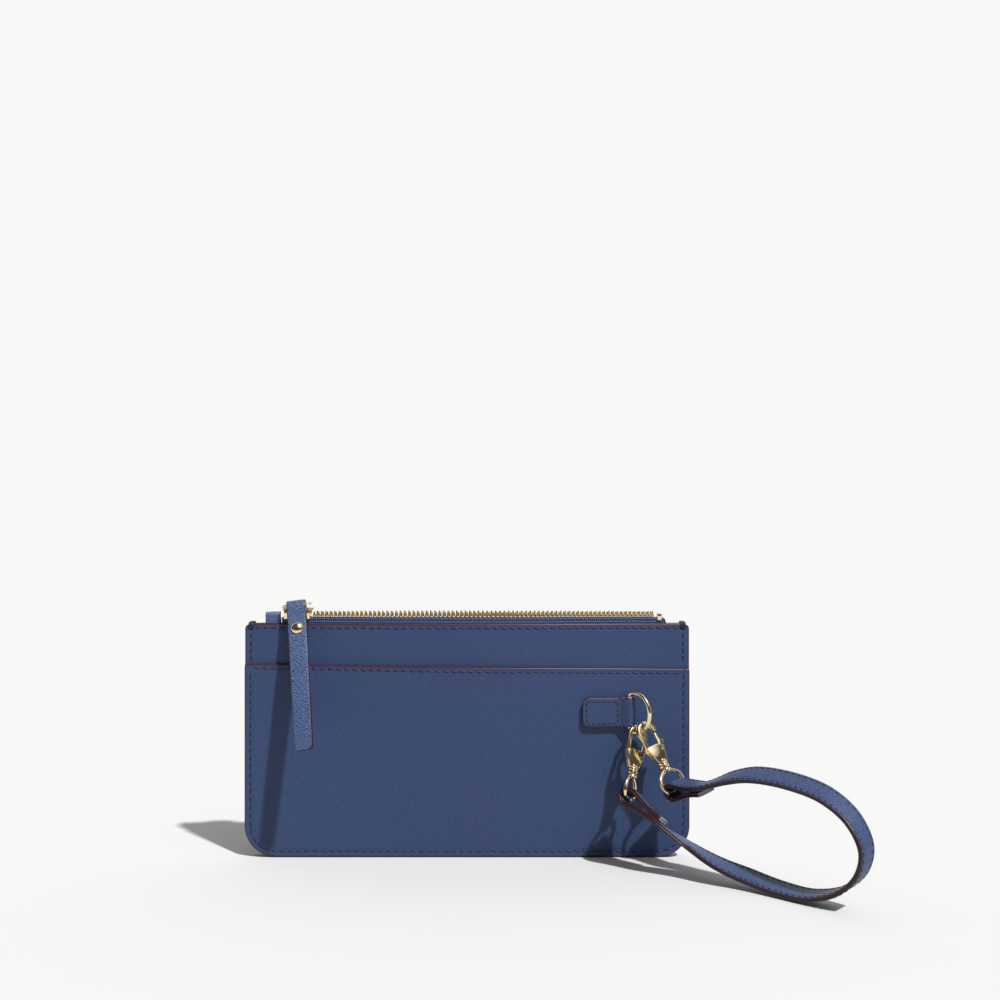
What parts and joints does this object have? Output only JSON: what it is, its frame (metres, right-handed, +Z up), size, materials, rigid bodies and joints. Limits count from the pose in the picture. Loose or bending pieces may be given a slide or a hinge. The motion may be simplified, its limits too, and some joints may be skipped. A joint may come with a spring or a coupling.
{
  "type": "wristlet wallet",
  "caption": "Slim zip-top leather wristlet wallet with a front slip pocket, a leather zip pull and a wrist strap on two swivel clasps.",
  "frame": {"origin": "the bottom edge of the back panel, at mid width, where the upright wallet stands", "axes": "+X to the wearer's right along the zip, +Y from the front pocket towards the back panel, +Z up"},
  "size_m": [0.2759, 0.1069, 0.1231],
  "materials": {
    "saffiano": "satin",
    "lining": "matte",
    "zip_tape": "satin",
    "gold": "polished",
    "steel": "satin",
    "thread": "satin"
  },
  "bodies": {
    "wallet": {"back_panel": "saffiano", "front_panel": "saffiano", "front_pocket": "saffiano", "lining_back": "lining", "lining_front": "lining", "zip_top_stop_back": "gold", "zip_top_stop_front": "gold", "zip_bottom_stop": "gold", "zip_start_tab": "zip_tape", "ring_tab": "saffiano", "thread_rim_front": "thread", "thread_rim_back": "thread", "thread_top_front": "thread", "thread_top_back": "thread", "thread_pocket_top": "thread", "thread_tab": "thread"},
    "lip_front": {"zip_tape_front": "zip_tape", "zip_teeth_front": "gold"},
    "lip_back": {"zip_tape_back": "zip_tape", "zip_teeth_back": "gold"},
    "slider": {"slider_body": "gold", "slider_bail": "gold"},
    "link": {"pull_link": "gold"},
    "pull": {"pull_strip": "saffiano", "pull_rivet_cap": "gold", "pull_rivet_back": "gold"},
    "ring": {"d_ring": "gold"},
    "clasp_a": {"clasp_a_hook": "gold", "clasp_a_gate_pin": "steel", "clasp_a_gate_spring": "steel", "strap_outer_ply": "saffiano", "strap_inner_ply": "saffiano", "strap_thread_near": "thread", "strap_thread_far": "thread"},
    "gate_a": {"clasp_a_gate": "gold"},
    "eye_a": {"clasp_a_eye": "gold"},
    "clasp_b": {"clasp_b_hook": "gold", "clasp_b_gate_pin": "steel", "clasp_b_gate_spring": "steel"},
    "gate_b": {"clasp_b_gate": "gold"},
    "eye_b": {"clasp_b_eye": "gold"}
  },
  "joints": [
    {"name": "zip_slide", "type": "slide", "parent": "wallet", "child": "slider", "axis": [1, 0, 0], "range_m": [0, 0.165], "deforming": ["zip_tape_front", "zip_tape_back", "zip_teeth_front", "zip_teeth_back"]},
    {"name": "lip_front_close", "type": "slide", "parent": "wallet", "child": "lip_front", "axis": [0, 1, 0], "range_m": [0, 0.0036], "deforming": ["zip_tape_front", "zip_teeth_front"]},
    {"name": "lip_back_close", "type": "slide", "parent": "wallet", "child": "lip_back", "axis": [0, -1, 0], "range_m": [0, 0.0036], "deforming": ["zip_tape_back", "zip_teeth_back"]},
    {"name": "link_tilt", "type": "hinge", "parent": "slider", "child": "link", "pos_m": [-0.081, -0.00205, 0.11985], "axis": [-0.993, 0, -0.1179], "range_deg": [0, 85]},
    {"name": "pull_swing", "type": "hinge", "parent": "link", "child": "pull", "pos_m": [-0.081, -0.00865, 0.1202], "axis": [-0.993, 0, -0.1179], "range_deg": [0, 90]},
    {"name": "ring_swing", "type": "hinge", "parent": "wallet", "child": "ring", "pos_m": [0.0772, -0.0101, 0.0694], "axis": [0, 0, -1], "range_deg": [-10, 25]},
    {"name": "loop_swing", "type": "hinge", "parent": "ring", "child": "clasp_a", "pos_m": [0.08061, -0.01376, 0.0604], "axis": [-0.682, 0.7314, 0], "range_deg": [-4, 25]},
    {"name": "clasp_b_swing", "type": "hinge", "parent": "ring", "child": "clasp_b", "pos_m": [0.08061, -0.01376, 0.0604], "axis": [-0.682, 0.7314, 0], "range_deg": [-4, 25]},
    {"name": "gate_a_open", "type": "hinge", "parent": "clasp_a", "child": "gate_a", "pos_m": [0.08103, -0.0175, 0.0491], "axis": [0.4275, -0.8533, 0.2985], "range_deg": [0, 20], "stiffness_Nm_per_rad": 0.004, "deforming": ["clasp_a_gate_spring"]},
    {"name": "gate_b_open", "type": "hinge", "parent": "clasp_b", "child": "gate_b", "pos_m": [0.09092, -0.0186, 0.05334], "axis": [0.3741, -0.8172, 0.4385], "range_deg": [0, 20], "stiffness_Nm_per_rad": 0.004, "deforming": ["clasp_b_gate_spring"]},
    {"name": "eye_a_swivel", "type": "hinge", "parent": "clasp_a", "child": "eye_a", "pos_m": [0.07755, -0.02096, 0.04419], "axis": [0.1701, 0.4002, 0.9005], "range_deg": [-8, 8]},
    {"name": "eye_b_swivel", "type": "hinge", "parent": "clasp_b", "child": "eye_b", "pos_m": [0.09153, -0.02165, 0.04713], "axis": [-0.4398, 0.2599, 0.8597], "range_deg": [-8, 8]}
  ],
  "couplings": [
    {"joint": "lip_front_close", "follows": "zip_slide", "ratio": 0.021818},
    {"joint": "lip_back_close", "follows": "zip_slide", "ratio": 0.021818},
    {"joint": "clasp_b_swing", "follows": "loop_swing", "ratio": 1}
  ]
}
